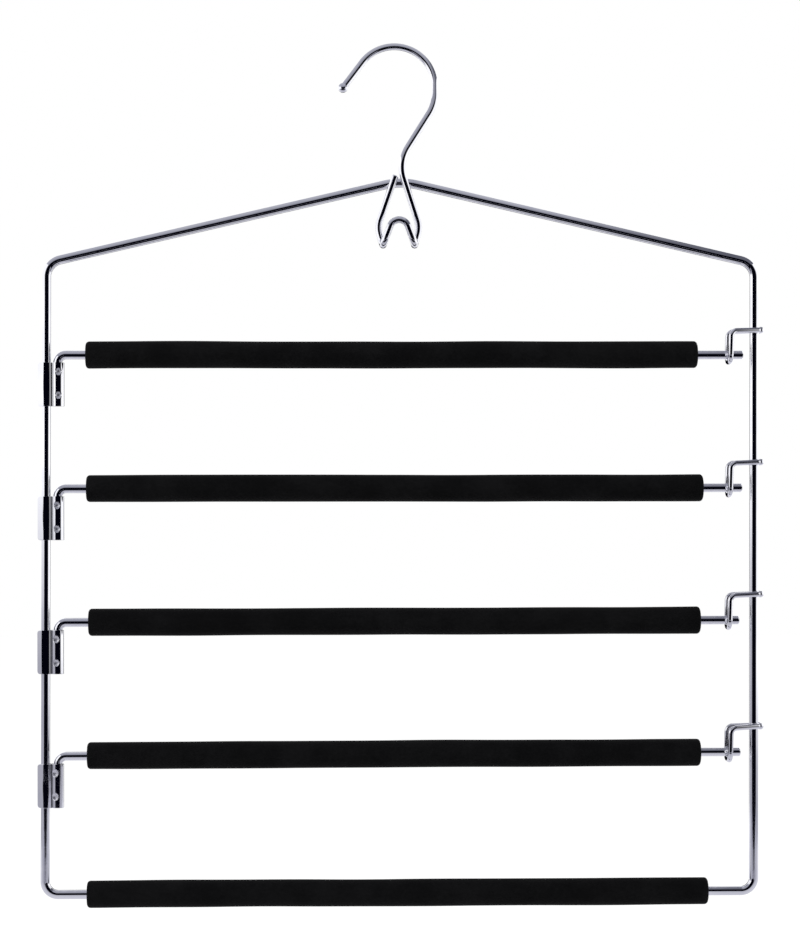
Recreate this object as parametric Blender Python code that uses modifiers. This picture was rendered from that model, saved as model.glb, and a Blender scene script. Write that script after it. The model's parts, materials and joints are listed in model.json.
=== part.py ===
"""Trouser hanger of chromed wire: a five-cornered frame on a hook, with foam-clad arms that swing out.

Metres, +Z up. +X runs from the hinges to the forks, and the front faces -Y. The origin is the seat of the
hook, the underside of its crook, where a wardrobe rail touches it.
"""

import math

import bmesh
import bpy
from mathutils import Matrix, Vector

# Wire stock, by diameter
FRAME_WIRE = 0.0047
ARM_WIRE = 0.0045
HOOK_WIRE = 0.0035
FORK_WIRE = 0.0027

# Space left between pieces that touch or are welded together
GAP = 0.0003

# Frame, along the centre line of its wire
FRAME_WIDTH = 0.3620
HOOK_TO_PEAK = 0.0673
SHOULDER_SLOPE = math.radians(13.05)
SHOULDER_TO_ARM = 0.0468
ARM_COUNT = 4
ARM_PITCH = 0.0680
ARM_TO_FOOT = 0.0703
CORNER_BEND = 0.0090
PEAK_BEND = 0.0360

# Crook of the hook, and its ball tip. It leans back from the legs, so that its seat is over the frame
CROOK_LEAN = math.radians(7)
CROOK_INNER_RADIUS = 0.0187
CROOK_SIDE_DROP = 0.0040
CROOK_TIP_ANGLE = math.radians(143.4)
CROOK_TIP_LENGTH = 0.0192
TIP_BALL = 0.0050
CROOK_TO_FRAME_MIDDLE = 0.00325

# Neck, legs and folded arch of the hook, measured from the frame's peak
CROOK_TO_LEGS = 0.0018
NECK_RISE = 0.0093
NECK_BEND = 0.0195
LEG_TOP_RISE = 0.0024
LEG_TOP_INSET = 0.0016
LEG_KNEE_SPREAD = 0.0106
LEG_KNEE_DROP = 0.0237
LEG_KNEE_BEND = 0.0120
FOLD_SPREAD = 0.0080
FOLD_DROP = 0.0333
FOLD_BEND = 0.0040
ARCH_DROP = 0.0122
ARCH_BEND = 0.0047

# Swing arms and the clips that they turn in
HINGE_SPACE = 0.0014
ARM_BEND = 0.0043
ARM_TO_CLIP = 0.0039
ROD_PAST_FORK = 0.0063
ROD_CHAMFER = 0.0005
CLIP_HEIGHT = 0.0222
CLIP_SHEET = 0.0008
CLIP_VALLEY_DEPTH = 0.0011
CLIP_LIP = 0.0007
CLIP_CORNER = 0.0014
DIMPLE_INSET = 0.0050
DIMPLE_BALL = 0.0020
DIMPLE_DEPTH = 0.0006

# Forks, measured from the side wire and from the arm that each holds
FORK_INSET = 0.0131
FORK_OVERHANG = 0.0038
FORK_RISE = 0.0127
FORK_BEND = 0.0046

# Foam sleeves
SLEEVE_DIAMETER = 0.0138
SLEEVE_EDGE = 0.0018
ARM_SLEEVE_MARGIN = 0.0147
FOOT_SLEEVE_MARGIN = 0.0227

# Fineness of the round forms
BEND_STEP = math.radians(11)
SHEET_STEP = math.radians(20)
DOME_START = math.radians(14)
DOME_STEP = math.radians(26)
SHARP_EDGE = math.radians(30)
WIRE_SIDES = 12
SLEEVE_SIDES = 20
SLEEVE_EDGE_STEPS = 3
DIMPLE_SIDES = 16
WIDTH_TOLERANCE = 0.001
STATION_SPACING = 0.05
MERGE_DISTANCE = 0.00001

# Places worked out from the sizes above
LEFT = CROOK_TO_FRAME_MIDDLE - FRAME_WIDTH / 2
RIGHT = CROOK_TO_FRAME_MIDDLE + FRAME_WIDTH / 2
PEAK = -HOOK_TO_PEAK
SHOULDER = PEAK - math.tan(SHOULDER_SLOPE) * FRAME_WIDTH / 2
ARM_HEIGHTS = [SHOULDER - SHOULDER_TO_ARM - ARM_PITCH * i for i in range(ARM_COUNT)]
FOOT = ARM_HEIGHTS[-1] - ARM_TO_FOOT
NECK = PEAK + NECK_RISE
LEG_Y = NECK * math.tan(CROOK_LEAN)
FRAME_Y = LEG_Y + HOOK_WIRE / 2 + GAP + FRAME_WIRE / 2
FORK_STRAND = max(FRAME_WIRE, ARM_WIRE) / 2 + GAP + FORK_WIRE / 2
HINGE_OFFSET = FRAME_WIRE / 2 + HINGE_SPACE + ARM_WIRE / 2
HINGE_X = LEFT + HINGE_OFFSET
FORK_X = RIGHT - FORK_INSET
ARM_REACH = FORK_X + ROD_PAST_FORK - HINGE_X
BARREL = max(FRAME_WIRE, ARM_WIRE) / 2 + GAP + CLIP_SHEET / 2
DIMPLE_FROM_AXIS = BARREL + CLIP_SHEET / 2 + DIMPLE_BALL - DIMPLE_DEPTH
DIMPLE_BUMP = DIMPLE_BALL + CLIP_SHEET


def clear_scene():
    for obj in list(bpy.data.objects):
        bpy.data.objects.remove(obj, do_unlink=True)


def new_collection(name, hidden=False):
    collection = bpy.data.collections.new(name)
    collection.hide_render = hidden
    bpy.context.scene.collection.children.link(collection)
    return collection


def new_material(name, colour, roughness, metallic):
    material = bpy.data.materials.new(name)
    material.use_nodes = True
    shader = material.node_tree.nodes["Principled BSDF"]
    shader.inputs["Base Color"].default_value = (*colour, 1)
    shader.inputs["Roughness"].default_value = roughness
    shader.inputs["Metallic"].default_value = metallic
    material.diffuse_color = (*colour, 1)
    return material


def new_object(name, data, collection, material=None):
    obj = bpy.data.objects.new(name, data)
    collection.objects.link(obj)
    if material:
        data.materials.append(material)
    return obj


def arc(centre, radius, start, end, step):
    """Points of an arc in a plane, as (across, up) pairs, from one angle to the other, both ends included."""
    count = max(1, math.ceil(abs(end - start) / step))
    angles = [start + (end - start) * i / count for i in range(count + 1)]
    return [(centre[0] + radius * math.cos(a), centre[1] + radius * math.sin(a)) for a in angles]


def bent(corners, closed=False):
    """Centre line of a bent wire: straight runs between (corner, bend radius) pairs, each corner rounded."""
    path = []
    for i, (corner, radius) in enumerate(corners):
        corner = Vector(corner)
        at_end = i in (0, len(corners) - 1) and not closed
        if at_end or radius == 0:
            path.append(corner)
            continue
        to_last = (Vector(corners[i - 1][0]) - corner).normalized()
        to_next = (Vector(corners[(i + 1) % len(corners)][0]) - corner).normalized()
        turn = math.pi - to_last.angle(to_next)
        middle = (to_last + to_next).normalized()
        centre = corner + middle * radius / math.cos(turn / 2)
        start = corner + to_last * radius * math.tan(turn / 2) - centre
        axis = to_next.cross(to_last)
        count = max(2, math.ceil(turn / BEND_STEP))
        path += [centre + Matrix.Rotation(turn * k / count, 3, axis) @ start for k in range(count + 1)]
    return path


def path_length(path):
    return sum((b - a).length for a, b in zip(path, path[1:]))


def along(path, distance):
    """The point at this distance along a path."""
    for a, b in zip(path, path[1:]):
        run = (b - a).length
        if distance <= run:
            return a.lerp(b, distance / run)
        distance -= run
    return path[-1]


def turned_width(turned, distance):
    """The diameter at this distance along a wire whose (distance, diameter) profile is given."""
    for (s0, d0), (s1, d1) in zip(turned, turned[1:]):
        if s0 <= distance <= s1:
            return d0 + (d1 - d0) * (distance - s0) / (s1 - s0)
    return turned[-1][1]


def domed_end(diameter, neck):
    """Profile of a ball-shaped end, from its pole to where it meets a neck of the given diameter."""
    last = math.pi - math.asin(min(1, neck / diameter))
    count = math.ceil((last - DOME_START) / DOME_STEP)
    angles = [DOME_START + (last - DOME_START) * k / count for k in range(count + 1)]
    return [(diameter / 2 * (1 - math.cos(a)), diameter * math.sin(a)) for a in angles]


def from_far_end(profile, length):
    return [(length - s, d) for s, d in reversed(profile)]


def new_wire(name, path, diameter, collection, material, turned=None):
    """A wire of the given diameter along a path. A turned profile shapes its ends and grooves; without one
    the path is closed into a loop."""
    points = [(point, diameter) for point in path]
    if turned:
        shaped = [(along(path, s), d, s) for s, d in turned]
        walked = 0
        for a, b in zip(path, path[1:]):
            walked += (b - a).length
            plain = math.isclose(turned_width(turned, walked), diameter, rel_tol=WIDTH_TOLERANCE)
            near = min(abs(walked - s) for s, d in turned) < diameter * STATION_SPACING
            if plain and not near:
                shaped.append((b, diameter, walked))
        points = [(point, d) for point, d, s in sorted(shaped, key=lambda station: station[2])]
    curve = bpy.data.curves.new(name, "CURVE")
    curve.dimensions = "3D"
    curve.bevel_depth = diameter / 2
    curve.bevel_resolution = (WIRE_SIDES - 4) // 2
    curve.use_fill_caps = turned is not None
    spline = curve.splines.new("POLY")
    spline.points.add(len(points) - 1)
    spline.use_cyclic_u = turned is None
    for spline_point, (point, d) in zip(spline.points, points):
        spline_point.co = (*point, 1)
        spline_point.radius = d / diameter
    return new_object(name, curve, collection, material)


def build_frame(parts, chrome):
    """The five-cornered loop, closed by a butt weld under the bottom sleeve."""
    corners = [
        ((CROOK_TO_FRAME_MIDDLE, FRAME_Y, PEAK), PEAK_BEND),
        ((RIGHT, FRAME_Y, SHOULDER), CORNER_BEND),
        ((RIGHT, FRAME_Y, FOOT), CORNER_BEND),
        ((LEFT, FRAME_Y, FOOT), CORNER_BEND),
        ((LEFT, FRAME_Y, SHOULDER), CORNER_BEND),
    ]
    new_wire("frame_wire", bent(corners, closed=True), FRAME_WIRE, parts, chrome)


def build_hook(parts, chrome):
    """Ball tip, crook, neck, right leg, arch folded up in front, left leg: one wire, in that order."""
    radius = CROOK_INNER_RADIUS + HOOK_WIRE / 2
    centre = (0, -CROOK_INNER_RADIUS)
    lower_centre = (0, centre[1] - CROOK_SIDE_DROP)
    neck = (CROOK_TO_LEGS, NECK / math.cos(CROOK_LEAN))
    reach = math.hypot(neck[0] - lower_centre[0], neck[1] - lower_centre[1])
    bearing = math.atan2(neck[1] - lower_centre[1], neck[0] - lower_centre[0])
    side_end = bearing + math.acos(radius / reach)
    tip_run = (-math.sin(CROOK_TIP_ANGLE), math.cos(CROOK_TIP_ANGLE))
    crook = arc(centre, radius, CROOK_TIP_ANGLE, 0, BEND_STEP)
    tip = tuple(at + CROOK_TIP_LENGTH * run for at, run in zip(crook[0], tip_run))
    side = arc(lower_centre, radius, 0, side_end, BEND_STEP)
    lean = Matrix.Rotation(-CROOK_LEAN, 3, "X")
    corners = [(lean @ Vector((x, 0, z)), 0) for x, z in [tip, *crook, *side]]

    middle = CROOK_TO_LEGS
    arch_y = LEG_Y - 2 * FOLD_BEND
    knee, fold = PEAK - LEG_KNEE_DROP, PEAK - FOLD_DROP
    corners += [
        ((middle, LEG_Y, NECK), NECK_BEND),
        ((middle + LEG_KNEE_SPREAD, LEG_Y, knee), LEG_KNEE_BEND),
        ((middle + FOLD_SPREAD, LEG_Y, fold), FOLD_BEND),
        ((middle + FOLD_SPREAD, arch_y, fold), FOLD_BEND),
        ((middle, arch_y, PEAK - ARCH_DROP), ARCH_BEND),
        ((middle - FOLD_SPREAD, arch_y, fold), FOLD_BEND),
        ((middle - FOLD_SPREAD, LEG_Y, fold), FOLD_BEND),
        ((middle - LEG_KNEE_SPREAD, LEG_Y, knee), LEG_KNEE_BEND),
        ((middle - LEG_TOP_INSET, LEG_Y, PEAK + LEG_TOP_RISE), 0),
    ]
    path = bent(corners)
    length = path_length(path)
    ball = domed_end(TIP_BALL, HOOK_WIRE)
    cut = [(0, HOOK_WIRE - 2 * ROD_CHAMFER), (ROD_CHAMFER, HOOK_WIRE)]
    new_wire("hanging_hook", path, HOOK_WIRE, parts, chrome, ball + from_far_end(cut, length))


def build_arm(number, height, parts, chrome):
    """A rod whose hinge end turns down into a stub, with a groove for each dimple of its clip."""
    stub_end = -(ARM_TO_CLIP + CLIP_HEIGHT - GAP)
    path = bent([((0, 0, stub_end), 0), ((0, 0, 0), ARM_BEND), ((ARM_REACH, 0, 0), 0)])
    floor = min(ARM_WIRE / 2, DIMPLE_FROM_AXIS - DIMPLE_BUMP - GAP)
    bump_at_wall = DIMPLE_FROM_AXIS - ARM_WIRE / 2
    half_width = math.sqrt(max(0, DIMPLE_BUMP**2 - bump_at_wall**2)) + GAP
    slope = ARM_WIRE / 2 - floor
    turned = [(0, ARM_WIRE - 2 * ROD_CHAMFER), (ROD_CHAMFER, ARM_WIRE)]
    for inset in (DIMPLE_INSET, CLIP_HEIGHT - DIMPLE_INSET):
        at = inset - GAP
        turned += [
            (at - half_width - slope, ARM_WIRE),
            (at - half_width, 2 * floor),
            (at + half_width, 2 * floor),
            (at + half_width + slope, ARM_WIRE),
        ]
    length = path_length(path)
    turned += from_far_end(turned[:2], length)
    arm = new_wire(f"swing_arm_{number}", path, ARM_WIRE, parts, chrome, turned)
    arm.location = (HINGE_X, FRAME_Y, height)
    return arm


def build_sleeve(name, length, bore, parts, foam):
    """A foam tube with rounded ends, turned about its own axis and laid along X."""
    outer, end = SLEEVE_DIAMETER / 2, length / 2
    edge = arc((outer - SLEEVE_EDGE, end - SLEEVE_EDGE), SLEEVE_EDGE, math.pi / 2, 0,
               math.pi / 2 / SLEEVE_EDGE_STEPS)
    profile = [(bore / 2, end), *edge]
    profile += [(r, -z) for r, z in reversed(profile)]
    mesh = bpy.data.meshes.new(name)
    shape = bmesh.new()
    rim = [shape.verts.new((r, 0, z)) for r, z in profile]
    for a, b in zip(rim, rim[1:] + rim[:1]):
        shape.edges.new((a, b))
    shape.to_mesh(mesh)
    shape.free()
    sleeve = new_object(name, mesh, parts, foam)
    sleeve.rotation_euler = (0, math.pi / 2, 0)
    screw = sleeve.modifiers.new("turn", "SCREW")
    screw.steps = screw.render_steps = SLEEVE_SIDES
    screw.use_merge_vertices = True
    screw.merge_threshold = MERGE_DISTANCE
    screw.use_smooth_shade = True
    return sleeve


def clip_outline():
    """Middle of the clip's folded sheet in plan, from lip to lip: flat until it meets the barrel round the frame
    wire at (0, 0), down into the valley, round the stub at (HINGE_OFFSET, 0), and back the same way behind."""
    lip = (-BARREL - CLIP_LIP, -(CLIP_SHEET + GAP) / 2)
    lip_angle = math.atan2(lip[1], lip[0]) + 2 * math.pi
    flat_end = lip_angle + math.acos(BARREL / math.hypot(*lip))
    half, neck = HINGE_OFFSET / 2, BARREL - CLIP_VALLEY_DEPTH
    valley_bend = (half**2 + neck**2 - BARREL**2) / (2 * CLIP_VALLEY_DEPTH)
    valley_centre = (half, -neck - valley_bend)
    valley_angle = math.atan2(-valley_centre[1], half)
    front = [lip, *arc((0, 0), BARREL, flat_end, 2 * math.pi - valley_angle, SHEET_STEP)]
    front += arc(valley_centre, valley_bend, math.pi - valley_angle, valley_angle, SHEET_STEP)[1:]
    front += arc((HINGE_OFFSET, 0), BARREL, math.pi + valley_angle, 2 * math.pi, SHEET_STEP)[1:]
    return front + [(x, -y) for x, y in reversed(front[:-1])]


def new_dimples(name, radius, cutters):
    """Two balls on the front of the stub's barrel, one near each end of the clip."""
    mesh = bpy.data.meshes.new(name)
    shape = bmesh.new()
    turn = Matrix.Rotation(math.pi / 2, 4, "X")
    for inset in (DIMPLE_INSET, CLIP_HEIGHT - DIMPLE_INSET):
        place = Matrix.Translation((HINGE_OFFSET, -DIMPLE_FROM_AXIS, -inset))
        bmesh.ops.create_uvsphere(shape, u_segments=DIMPLE_SIDES, v_segments=DIMPLE_SIDES // 2,
                                  radius=radius, matrix=place @ turn)
    shape.to_mesh(mesh)
    shape.free()
    return new_cutter(name, mesh, cutters)


def new_cutter(name, mesh, cutters):
    cutter = new_object(name, mesh, cutters)
    cutter.hide_render = True
    cutter.display_type = "WIRE"
    return cutter


def add_boolean(obj, other, operation):
    modifier = obj.modifiers.new(operation.lower(), "BOOLEAN")
    modifier.operation = operation
    modifier.object = other
    modifier.solver = "EXACT"


def build_clip_mesh(cutters):
    """One clip with its frame wire at the local Z axis and its top at z = 0: a folded strip with rounded lip
    corners, thickened, then punched on the stub's barrel so that each dimple stands in a groove of the stub."""
    outline = clip_outline()
    shape = bmesh.new()
    row = [shape.verts.new((x, y, 0)) for x, y in outline]
    edges = [shape.edges.new((a, b)) for a, b in zip(row, row[1:])]
    lower = bmesh.ops.extrude_edge_only(shape, edges=edges)["geom"]
    lower = [v for v in lower if isinstance(v, bmesh.types.BMVert)]
    bmesh.ops.translate(shape, verts=lower, vec=(0, 0, -CLIP_HEIGHT))
    lip_end = outline[0][0]
    for vert in shape.verts:
        short = min(CLIP_CORNER, max(0, CLIP_CORNER - (vert.co.x - lip_end)))
        trim = CLIP_CORNER - math.sqrt(CLIP_CORNER**2 - short**2)
        vert.co.z += trim if vert.co.z < -CLIP_HEIGHT / 2 else -trim
    bmesh.ops.recalc_face_normals(shape, faces=shape.faces)
    strip = bpy.data.meshes.new("clip_strip")
    shape.to_mesh(strip)
    shape.free()
    clip = new_cutter("clip_strip", strip, cutters)
    sheet = clip.modifiers.new("sheet", "SOLIDIFY")
    sheet.thickness = CLIP_SHEET
    sheet.offset = 0
    sheet.use_even_offset = True

    core_mesh = bpy.data.meshes.new("barrel_core")
    core = bmesh.new()
    place = Matrix.Translation((HINGE_OFFSET, 0, -CLIP_HEIGHT / 2))
    bmesh.ops.create_cone(core, cap_ends=True, segments=4 * DIMPLE_SIDES, radius1=BARREL, radius2=BARREL,
                          depth=CLIP_HEIGHT, matrix=place)
    core.to_mesh(core_mesh)
    core.free()
    bumps = new_dimples("dimple_bumps", DIMPLE_BUMP, cutters)
    add_boolean(bumps, new_cutter("barrel_core", core_mesh, cutters), "INTERSECT")
    add_boolean(clip, bumps, "UNION")
    add_boolean(clip, new_dimples("dimple_punch", DIMPLE_BALL, cutters), "DIFFERENCE")
    graph = bpy.context.evaluated_depsgraph_get()
    mesh = bpy.data.meshes.new_from_object(clip.evaluated_get(graph))
    mesh.name = "hinge_clip"
    mesh.shade_smooth()
    mesh.set_sharp_from_angle(angle=SHARP_EDGE)
    return mesh


def build_fork(number, height, parts, chrome):
    """A wire bent double. Its ends are welded to the front and the back of the side wire, and its two strands
    turn down on both sides of the arm's rod and meet under it."""
    level = height + FORK_RISE
    front, back = FRAME_Y - FORK_STRAND, FRAME_Y + FORK_STRAND
    under = arc((FRAME_Y, height), FORK_STRAND, math.pi, 2 * math.pi, BEND_STEP)
    corners = [
        ((RIGHT + FORK_OVERHANG, front, level), 0),
        ((FORK_X, front, level), FORK_BEND),
        *[((FORK_X, y, z), 0) for y, z in under],
        ((FORK_X, back, level), FORK_BEND),
        ((RIGHT + FORK_OVERHANG, back, level), 0),
    ]
    path = bent(corners)
    end = domed_end(FORK_WIRE, FORK_WIRE)
    turned = end + from_far_end(end, path_length(path))
    new_wire(f"arm_fork_{number}", path, FORK_WIRE, parts, chrome, turned)


clear_scene()
hanger = new_collection("trouser_hanger")
helpers = new_collection("cutters", hidden=True)
chrome_wire = new_material("chromed wire", (0.74, 0.74, 0.77), 0.08, 1.0)
chrome_sheet = new_material("chromed sheet", (0.72, 0.72, 0.76), 0.14, 1.0)
black_foam = new_material("black foam", (0.012, 0.012, 0.014), 0.9, 0.0)

build_frame(hanger, chrome_wire)
build_hook(hanger, chrome_wire)
clip_mesh = build_clip_mesh(helpers)
clip_mesh.materials.append(chrome_sheet)
arm_sleeve_length = FORK_X - HINGE_X - 2 * ARM_SLEEVE_MARGIN
for tier, arm_height in enumerate(ARM_HEIGHTS, start=1):
    clip_at_tier = new_object(f"hinge_clip_{tier}", clip_mesh, hanger)
    clip_at_tier.location = (LEFT, FRAME_Y, arm_height - ARM_TO_CLIP)
    build_fork(tier, arm_height, hanger, chrome_wire)
    swing_arm = build_arm(tier, arm_height, hanger, chrome_wire)
    arm_sleeve = build_sleeve(f"foam_sleeve_{tier}", arm_sleeve_length, ARM_WIRE + 2 * GAP, hanger, black_foam)
    arm_sleeve.parent = swing_arm
    arm_sleeve.location = (ARM_SLEEVE_MARGIN + arm_sleeve_length / 2, 0, 0)
foot_sleeve_length = FRAME_WIDTH - 2 * FOOT_SLEEVE_MARGIN
foot_sleeve = build_sleeve(f"foam_sleeve_{ARM_COUNT + 1}", foot_sleeve_length, FRAME_WIRE + 2 * GAP, hanger,
                           black_foam)
foot_sleeve.location = (CROOK_TO_FRAME_MIDDLE, FRAME_Y, FOOT)
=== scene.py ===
"""A trouser hanger dressed for its photograph: chromed wire, folded hinge clips and black foam sleeves.

Metres, +Z up, with the front towards -Y. The origin is the seat of the hook. The hook and its welds are set
out from there and from the frame's peak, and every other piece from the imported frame's hinge axes. Each wire
is drawn and bent in the way that the real one is.
"""

import json
import math

import bmesh
import bpy
from mathutils import Matrix, Vector, noise

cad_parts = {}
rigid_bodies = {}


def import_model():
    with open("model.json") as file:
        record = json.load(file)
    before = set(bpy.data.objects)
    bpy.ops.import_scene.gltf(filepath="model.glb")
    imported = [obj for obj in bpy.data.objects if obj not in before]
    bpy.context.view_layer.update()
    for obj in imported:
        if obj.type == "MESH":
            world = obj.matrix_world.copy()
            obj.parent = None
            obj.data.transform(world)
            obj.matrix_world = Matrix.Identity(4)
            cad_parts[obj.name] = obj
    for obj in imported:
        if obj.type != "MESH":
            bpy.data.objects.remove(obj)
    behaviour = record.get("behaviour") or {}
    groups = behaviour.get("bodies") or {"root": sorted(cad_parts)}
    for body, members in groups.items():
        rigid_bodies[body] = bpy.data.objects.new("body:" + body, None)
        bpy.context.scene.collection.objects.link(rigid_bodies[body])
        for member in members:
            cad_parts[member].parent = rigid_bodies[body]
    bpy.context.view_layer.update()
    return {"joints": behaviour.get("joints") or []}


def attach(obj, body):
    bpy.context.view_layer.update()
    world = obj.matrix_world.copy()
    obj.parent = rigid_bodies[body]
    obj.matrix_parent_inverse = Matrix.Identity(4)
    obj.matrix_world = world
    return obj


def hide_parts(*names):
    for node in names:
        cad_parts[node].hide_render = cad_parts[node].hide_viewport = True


for leftover in list(bpy.data.objects):
    bpy.data.objects.remove(leftover)
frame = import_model()
hinges = [Vector(joint["pos_m"]) for joint in frame["joints"]]

# Frame wire
# Steel wire bent to five corners and butt-welded into a loop under the bottom sleeve, then polished and
# chrome-plated. It carries every other piece.
FRAME_WIRE = 0.0047
FRAME_WIDTH = 0.3620
SHOULDER_SLOPE = math.radians(13.05)
SHOULDER_TO_ARM = 0.0468
ARM_TO_FOOT = 0.0703
CORNER_BEND = 0.0090
FOOT_BEND = 0.0066
PEAK_BEND = 0.0360
SHOULDER_SHIFTS = (0.0005, 0.0)
FOOT_SHIFTS = (-0.0005, -0.0009)
HINGE_OFFSET = 0.0060
WIRE_SIDES = 40
BEND_STEP = math.radians(4)
SHARP_EDGE = math.radians(35)
MERGE_DISTANCE = 1e-6
BRIGHT_CHROME = (0.86, 0.86, 0.89, 1)
COOL_CHROME = (0.78, 0.785, 0.83, 1)
PLATE_ROUGHNESS = 0.03
HAZE_ROUGHNESS = 0.07
PUNCH_ROUGHNESS = 0.42
RIPPLE_SCALE = 70.0
RIPPLE_DETAIL = 2.0
HAZE_SCALE = 1400.0
HAZE_DETAIL = 3.0
TINT_DRIFT = (0.35, 0.65)

frame_y = hinges[0].y
left = hinges[0].x - HINGE_OFFSET
right = left + FRAME_WIDTH
middle = (left + right) / 2
shoulder = hinges[0].z + SHOULDER_TO_ARM
peak = shoulder + math.tan(SHOULDER_SLOPE) * FRAME_WIDTH / 2
foot = hinges[-1].z - ARM_TO_FOOT


class Shade:
    """An output socket of a node tree. Arithmetic on it adds Math nodes, and node() adds any other."""

    def __init__(self, tree, socket=None):
        self.tree = tree
        self.socket = socket

    def node(self, kind, settings, inputs, out=0):
        made = self.tree.nodes.new("ShaderNode" + kind)
        for name, value in settings.items():
            setattr(made, name, value)
        for key, value in inputs.items():
            if isinstance(value, Shade):
                self.tree.links.new(value.socket, made.inputs[key])
            else:
                made.inputs[key].default_value = value
        return Shade(self.tree, made.outputs[out] if made.outputs else None)

    def math(self, operation, first, second):
        return self.node("Math", {"operation": operation}, {0: first, 1: second})

    def __add__(self, other):
        return self.math("ADD", self, other)

    def __radd__(self, other):
        return self.math("ADD", other, self)

    def __sub__(self, other):
        return self.math("SUBTRACT", self, other)

    def __rsub__(self, other):
        return self.math("SUBTRACT", other, self)

    def __mul__(self, other):
        return self.math("MULTIPLY", self, other)

    def __rmul__(self, other):
        return self.math("MULTIPLY", other, self)

    def rise(self, start, end):
        """A smooth step from 0 to 1 as this value goes from start to end."""
        return self.node("MapRange", {"interpolation_type": "SMOOTHSTEP"},
                         {"Value": self, "From Min": start, "From Max": end})

    def blend(self, first, second):
        """The first colour where this value is 0, and the second where it is 1."""
        return self.node("Mix", {"data_type": "RGBA"}, {0: self, 6: first, 7: second}, out=2)


def new_material(name):
    """An empty material, and a handle on its node tree."""
    material = bpy.data.materials.new(name)
    material.use_nodes = True
    material.node_tree.nodes.clear()
    return material, Shade(material.node_tree)


def new_chrome(name, haze_depth, ripple_depth):
    """Bright chrome plate: a cool tint that drifts, a fine polishing haze, and a faint ripple in the steel.
    It is dull where a mesh is marked as punched."""
    material, shade = new_material(name)
    place = shade.node("TexCoord", {}, {}, out="Object")
    punched = shade.node("Attribute", {"attribute_name": "punched"}, {}, out="Fac")
    ripple = shade.node("TexNoise", {}, {"Vector": place, "Scale": RIPPLE_SCALE, "Detail": RIPPLE_DETAIL})
    haze = shade.node("TexNoise", {}, {"Vector": place, "Scale": HAZE_SCALE, "Detail": HAZE_DETAIL})
    tint = ripple.rise(*TINT_DRIFT).blend(BRIGHT_CHROME, COOL_CHROME)
    height = ripple * ripple_depth + haze * haze_depth
    bump = shade.node("Bump", {}, {"Height": height, "Distance": 1.0})
    plate = shade.node("BsdfPrincipled", {}, {
        "Base Color": tint,
        "Metallic": 1.0,
        "Roughness": PLATE_ROUGHNESS + haze * HAZE_ROUGHNESS + punched * PUNCH_ROUGHNESS,
        "Normal": bump,
    })
    shade.node("OutputMaterial", {}, {"Surface": plate})
    return material


class WireEnd:
    """The open end of a wire in the making: a ring of edges that is drawn out straight or round a bend."""

    def __init__(self, at, ahead, width, sides=WIRE_SIDES):
        self.shape = bmesh.new()
        self.at = Vector(at)
        aim = (Vector(ahead) - self.at).to_track_quat("Z", "Y").to_matrix().to_4x4()
        bmesh.ops.create_circle(self.shape, segments=sides, radius=width / 2,
                                matrix=Matrix.Translation(self.at) @ aim)
        self.edges = self.shape.edges[:]
        self.first = self.edges
        self.width = width

    def run(self, to, width=None):
        """Draws the end straight to a point, where it gets the given width."""
        made = bmesh.ops.extrude_edge_only(self.shape, edges=self.edges)["geom"]
        verts = [part for part in made if isinstance(part, bmesh.types.BMVert)]
        ends = set(verts)
        self.edges = [part for part in made
                      if isinstance(part, bmesh.types.BMEdge) and ends.issuperset(part.verts)]
        bmesh.ops.translate(self.shape, verts=verts, vec=to - self.at)
        self.at = to.copy()
        if width:
            share = width / self.width
            bmesh.ops.scale(self.shape, verts=verts, vec=(share,) * 3, space=Matrix.Translation(-to))
            self.width = width

    def bend(self, corner, onward, radius):
        """Draws the end up to a bend and round it, until it heads for the point onward."""
        back = (self.at - corner).normalized()
        ahead = (onward - corner).normalized()
        turn = math.pi - back.angle(ahead)
        reach = radius * math.tan(turn / 2)
        self.run(corner + back * reach)
        centre = corner + (back + ahead).normalized() * radius / math.cos(turn / 2)
        verts = list(dict.fromkeys(vert for edge in self.edges for vert in edge.verts))
        spun = bmesh.ops.spin(self.shape, geom=verts + self.edges, cent=centre, axis=ahead.cross(back),
                              angle=turn, steps=math.ceil(turn / BEND_STEP))
        self.edges = [part for part in spun["geom_last"] if isinstance(part, bmesh.types.BMEdge)]
        self.at = corner + ahead * reach

    def follow(self, corners):
        """Runs through (corner, bend radius) pairs, and stops at the last."""
        corners = [(Vector(corner), radius) for corner, radius in corners]
        for (corner, radius), (onward, _) in zip(corners, corners[1:]):
            self.bend(corner, onward, radius)
        self.run(corners[-1][0])

    def close(self):
        """Fills both ends, and gives the finished shape."""
        bmesh.ops.edgeloop_fill(self.shape, edges=self.first)
        bmesh.ops.edgeloop_fill(self.shape, edges=self.edges)
        return self.shape


def new_piece(name, shape, material, body, node=None):
    """Makes a finished shape a piece of the hanger, which rides on a body and stands for a node."""
    bmesh.ops.remove_doubles(shape, verts=shape.verts, dist=MERGE_DISTANCE)
    bmesh.ops.recalc_face_normals(shape, faces=shape.faces)
    mesh = bpy.data.meshes.new(name)
    shape.to_mesh(mesh)
    shape.free()
    mesh.materials.append(material)
    mesh.shade_smooth()
    mesh.set_sharp_from_angle(angle=SHARP_EDGE)
    piece = bpy.data.objects.new(name, mesh)
    bpy.context.scene.collection.objects.link(piece)
    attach(piece, body)
    if node:
        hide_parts(node)
    return piece


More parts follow.
